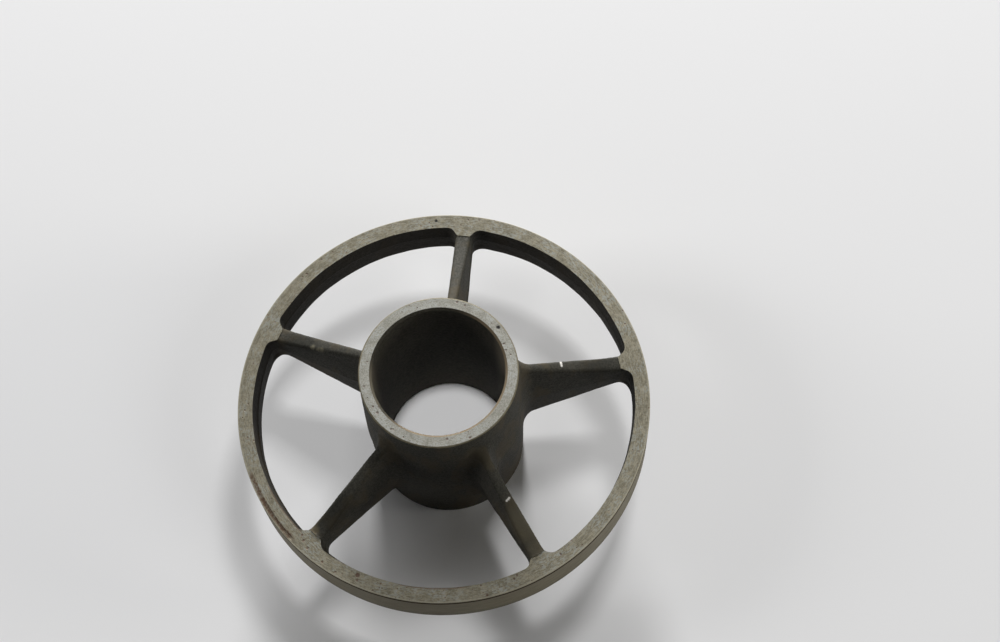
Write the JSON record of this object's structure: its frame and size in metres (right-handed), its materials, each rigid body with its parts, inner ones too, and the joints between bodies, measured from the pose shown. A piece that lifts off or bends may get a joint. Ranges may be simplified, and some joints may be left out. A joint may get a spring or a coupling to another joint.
{
  "type": "pump shaft bearing spider",
  "caption": "One-piece cast iron bearing spider: a narrow machined ring joined by tapering spokes to a long bored hub that holds a shaft bearing on the ring's axis.",
  "frame": {"origin": "centre of the hub's lower end face, on the bore axis", "axes": "+Z along the bore axis towards the end that faces the camera in the picture, +X along one spoke"},
  "size_m": [0.2032, 0.2032, 0.1],
  "materials": {
    "cast_iron": "as cast, with turned ring faces and hub ends"
  },
  "bodies": {
    "root": {"spider_casting": "cast_iron"}
  },
  "joints": []
}
